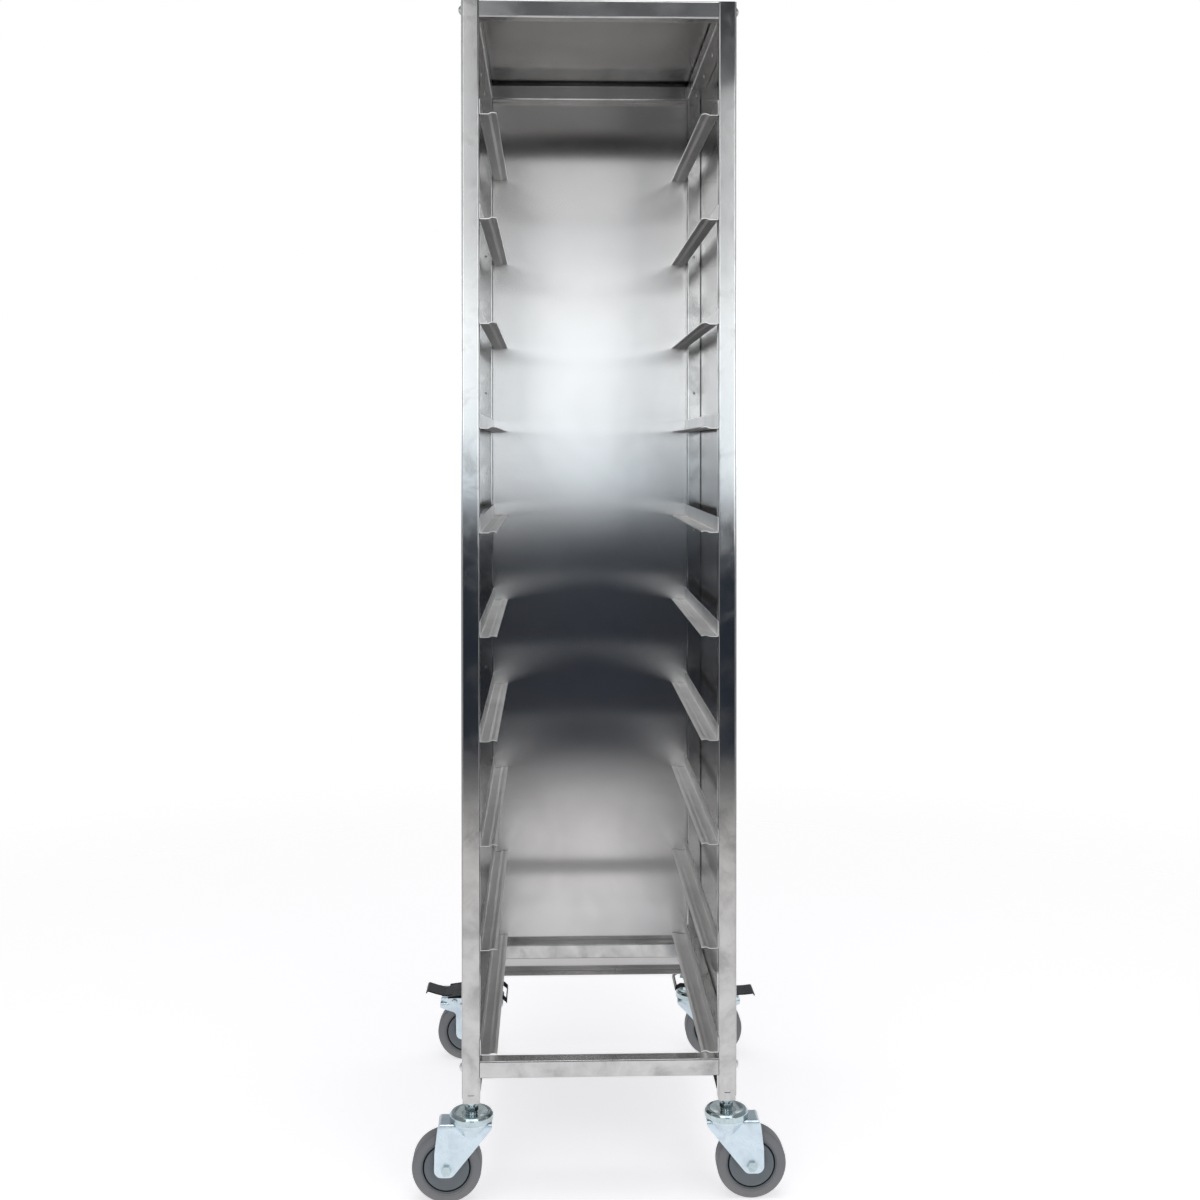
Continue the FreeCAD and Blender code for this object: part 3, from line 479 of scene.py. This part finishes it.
def make_hub(corner):
    """A rim, a narrow groove with a black ring in it that paints the groove's shade, and a slightly dished
    web that rises to a boss round the axle."""
    centre, radius, half = wheel_middle(corner)
    rim, boss = radius - TREAD, 13 * MM
    low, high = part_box(f"{corner}_hub")
    seat = half - 2 * MM
    face = [(rim, seat), (rim - 1.4 * MM, seat),
            (rim - 1.6 * MM, seat - 4 * MM), (rim - 3.6 * MM, seat - 4 * MM),
            (rim - 3.8 * MM, seat + 0.3 * MM), (rim - 7 * MM, seat + 0.1 * MM),
            (boss + 6 * MM, seat - 1.6 * MM), (boss + 1.5 * MM, seat - 1.4 * MM),
            (boss, seat + 2.8 * MM), (8.2 * MM, seat + 3 * MM)]
    outline = face + [(r, -a) for r, a in face[::-1]]
    radii = [0.3, 0.4, 0.2, 0.2, 0.5, 2.0, 3.0, 1.2, 0.8, 0.3]
    body = turned(rounded(outline, np.array(radii + radii[::-1]) * MM, 4), centre, (0, 1, 0), 128)
    reach = (high.y - low.y) / 2
    bore, outside = 4.1 * MM, 8 * MM
    sleeve = turned([(bore, -reach), (outside, -reach), (outside, reach), (bore, reach)],
                    centre, (0, 1, 0), 48)
    join(body, sleeve).piece(f"{corner}_hub_web", f"{corner}_wheel", "hub_plastic", [f"{corner}_hub"])
    # Near-black rings at the bottom of both grooves: painted shade, not a part of the wheel.
    shade_rings = []
    for sign in (-1, 1):
        ring = [(rim - 3.55 * MM, sign * (seat - 4.2 * MM)), (rim - 1.65 * MM, sign * (seat - 4.2 * MM)),
                (rim - 1.65 * MM, sign * (seat - 1.2 * MM)), (rim - 2.6 * MM, sign * (seat - 0.7 * MM)),
                (rim - 3.55 * MM, sign * (seat - 1.2 * MM))]
        shade_rings.append(turned(ring, centre, (0, 1, 0), 96))
    join(*shade_rings).piece(f"{corner}_groove_painted_shade", f"{corner}_wheel", "seal_rubber")


for end_name, side_name in CORNERS:
    make_tyre(f"{end_name}_{side_name}")
    make_hub(f"{end_name}_{side_name}")


# ---------------------------------------------------------------- brake pedals

def make_pedal(side_name):
    """Two cheeks, a foot pad folded up and over at its outer edge and a strap behind the stem, in black, on
    a zinc bracket round the pin. Outlines are in mm outwards from the stem and up from the floor. They are
    drawn released, then turned about the pin where the pedal is pressed."""
    side = SIDES[side_name]
    corner = f"rear_{side_name}"
    joint = next(j for j in frame["joints"] if j["child"] == f"{corner}_pedal")
    pin = np.array(joint["pos_m"])
    low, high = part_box(f"{corner}_post")
    stem = np.array((low + high) / 2)
    low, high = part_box(f"{corner}_brake_pedal")
    half = (high.y - low.y) / 2
    pressed = side > 0
    angle = np.radians(-joint["range_deg"][1] if pressed else 0.0)

    def across(outline, start, length):
        """An outline at the pedal's angle, pushed out across the caster from a start beside the stem."""
        flat = outline * MM
        reach, rise = flat[:, 0] - abs(pin[0] - stem[0]), flat[:, 1] - pin[2]
        turned_flat = np.stack([reach * np.cos(angle) - rise * np.sin(angle),
                                reach * np.sin(angle) + rise * np.cos(angle)], 1)
        placed = np.stack([pin[0] + side * turned_flat[:, 0], pin[2] + turned_flat[:, 1]], 1)
        return pushed(placed, stem[1] + start, length)

    sheet, pad_half = 2 * MM, 22.5 * MM
    ear_sheet, ear_face = 1 * MM, half - 2.15 * MM  # clears the cup inside and the cheek outside
    cheek = rounded([(-37.5, 107), (-37.5, 115), (-31, 121.5), (0, 124), (40, 122), (66, 118.5),
                     (66, 116.2), (40, 116.6), (0, 117), (-28, 115)],
                    [1.5, 3, 5, 20, 20, 0.8, 0.8, 10, 20, 2])
    cheeks = [across(cheek, start, sheet) for start in (-half, half - sheet)]
    web = across(folded([(38, 119.8), (52, 119.2), (66.5, 116.6)], sheet / MM, 6.0), -half, 2 * half)
    pad_line = [(60, 118.2), (72, 116.6), (88, 120.6), (103.3, 125.6), (105.2, 121.4)]
    pad = across(folded(pad_line, sheet / MM, 1.2), -pad_half, 2 * pad_half)
    strap_outline = [(-37.5, 107), (-37.5, 115), (-35.5, 117.6), (-35.5, 107)]
    strap = across(rounded(strap_outline, 0.6, 3), -half, 2 * half)
    join(*cheeks, web, pad, strap).piece(f"{corner}_pedal_pad", f"{corner}_pedal", "pedal_black",
                                         [f"{corner}_brake_pedal"], bevel=0.35 * MM)
    ear = rounded([(-24, 109.5), (-24, 115.8), (40, 116), (78, 116), (80, 113.5), (70, 110),
                   (64, 105.5), (46, 105.5), (40, 110)], [2, 2, 5, 1.5, 1.5, 4, 3, 3, 5])
    ears = [across(ear, start, ear_sheet) for start in (-ear_face, ear_face - ear_sheet)]
    shelf = rounded([(45, 114.6), (45, 116), (78, 116), (78, 114.6)], 0.4, 3)
    ears.append(across(shelf, -pad_half, 2 * pad_half))
    shoe = across(rounded([(48, 118.4), (50.5, 110), (54, 98.6), (57.5, 98.4), (63, 108), (64, 116)],
                          [1, 3, 1, 1, 3, 1]), -17.4 * MM, 34.8 * MM)
    join(*ears, shoe).piece(f"{corner}_pedal_bracket", f"{corner}_pedal", "zinc_plate", bevel=0.3 * MM)


for side_name in SIDES:
    make_pedal(side_name)


# ---------------------------------------------------------------- studio

def make_floor():
    """A pale round floor just under the wheels that fades out towards its rim."""
    radius, rings, segments, drop = 3.3, 34, 96, 0.2 * MM
    r = np.linspace(0, radius, rings)[:, None]
    t = np.linspace(0, 2 * np.pi, segments, endpoint=False)[None]
    points = np.stack(np.broadcast_arrays(r * np.cos(t), r * np.sin(t), 0 * r * t - drop), -1)
    mesh = bpy.data.meshes.new("studio_floor")
    mesh.from_pydata(points.reshape(-1, 3).tolist(), [], grid_faces(rings, segments, False, True).tolist())
    floor = bpy.data.objects.new("studio_floor", mesh)
    bpy.context.scene.collection.objects.link(floor)
    material, tree, shader = new_material("studio_floor")
    place = add(tree, "ShaderNodeTexCoord")
    distance = add(tree, "ShaderNodeVectorMath", [(0, place.outputs["Object"])], operation="LENGTH")
    shader.inputs["Base Color"].default_value = (0.80, 0.79, 0.80, 1)
    shader.inputs["Roughness"].default_value = 0.9
    shader.inputs["Specular IOR Level"].default_value = 0.1
    shader.inputs["Emission Color"].default_value = (1, 0.99, 1, 1)
    shader.inputs["Emission Strength"].default_value = 0.56
    clear = add(tree, "ShaderNodeBsdfTransparent")
    fade = add(tree, "ShaderNodeMapRange", [(0, distance.outputs["Value"])], in_1=0.7, in_2=2.6)
    blend = add(tree, "ShaderNodeMixShader",
                [(0, fade.outputs[0]), (1, shader.outputs[0]), (2, clear.outputs[0])])
    tree.links.new(blend.outputs[0], tree.nodes["Material Output"].inputs[0])
    mesh.materials.append(material)


def make_surroundings():
    """What the steel reflects. In front: dark overhead, a bright bluish strip at eye level, a dark strip
    below it and a pale floor. All round: the same heights in softer greys. The backdrop itself is white."""
    world = bpy.data.worlds.new("studio_surroundings")
    bpy.context.scene.world = world
    world.use_nodes = True
    tree = world.node_tree
    backdrop = tree.nodes["Background"]
    backdrop.inputs["Color"].default_value = (1, 1, 1, 1)
    place = add(tree, "ShaderNodeTexCoord")
    apart = add(tree, "ShaderNodeSeparateXYZ", [(0, place.outputs["Generated"])])
    level = add(tree, "ShaderNodeMapRange", [(0, apart.outputs["Z"])], in_1=-1.0, in_2=1.0)
    bands = ramp(tree, level.outputs[0], [
        (0.0, (0.50, 0.49, 0.48, 1)), (0.378, (0.50, 0.49, 0.48, 1)), (0.404, (0.020, 0.025, 0.036, 1)),
        (0.477, (0.022, 0.027, 0.038, 1)), (0.4895, (0.84, 0.93, 1.0, 1)), (0.540, (0.88, 0.93, 0.96, 1)),
        (0.572, (0.36, 0.37, 0.385, 1)), (0.604, (0.18, 0.19, 0.20, 1)), (0.628, (0.045, 0.048, 0.052, 1)),
        (1.0, (0.13, 0.13, 0.135, 1))])
    around = ramp(tree, level.outputs[0], [
        (0.0, (0.50, 0.49, 0.48, 1)), (0.46, (0.42, 0.42, 0.43, 1)), (0.50, (0.62, 0.65, 0.68, 1)),
        (0.60, (0.50, 0.52, 0.54, 1)), (0.70, (0.22, 0.225, 0.235, 1)), (1.0, (0.20, 0.20, 0.21, 1))])
    front = add(tree, "ShaderNodeMapRange", [(0, apart.outputs["Y"])], in_1=-0.35, in_2=-0.70)
    front.interpolation_type = "SMOOTHSTEP"
    seen = add(tree, "ShaderNodeMix", data_type="RGBA")
    tree.links.new(front.outputs[0], seen.inputs["Factor"])
    tree.links.new(around.outputs["Color"], seen.inputs[6])
    tree.links.new(bands.outputs["Color"], seen.inputs[7])
    lit = add(tree, "ShaderNodeBackground", [(0, seen.outputs[2])], in_1=1.4)
    path = add(tree, "ShaderNodeLightPath")
    chosen = add(tree, "ShaderNodeMixShader",
                 [(0, path.outputs["Is Camera Ray"]), (1, lit.outputs[0]), (2, backdrop.outputs[0])])
    tree.links.new(chosen.outputs[0], tree.nodes["World Output"].inputs[0])


def make_light(name, place, aim, size, power):
    """A square soft box at a place, turned towards its aim."""
    data = bpy.data.lights.new(name, "AREA")
    data.shape, data.size, data.energy = "SQUARE", size, power
    lamp = bpy.data.objects.new(name, data)
    bpy.context.scene.collection.objects.link(lamp)
    lamp.location = place
    lamp.rotation_euler = (Vector(aim) - Vector(place)).to_track_quat("-Z", "Y").to_euler()


make_floor()
make_surroundings()
make_light("overhead_softbox", (0.0, -0.4, 3.4), (0.0, 0.0, 0.0), 2.6, 40)
make_light("left_softbox", (-1.2, -3.4, 1.9), (0.0, 0.0, 0.8), 1.6, 14)
make_light("right_softbox", (1.4, -3.0, 1.5), (0.0, 0.0, 0.4), 1.6, 14)

lens = bpy.data.cameras.new("camera")
lens.sensor_width, lens.lens = 36.0, 46.753
lens.shift_y = -0.1185
lens.clip_start, lens.clip_end = 0.05, 60
camera = bpy.data.objects.new("camera", lens)
bpy.context.scene.collection.objects.link(camera)
camera.location = (-0.06887, -2.51254, 1.08081)
camera.rotation_euler = (np.pi / 2 - 0.00533, 0.00036, -0.03124)
bpy.context.scene.camera = camera
bpy.context.scene.view_settings.view_transform = "Standard"
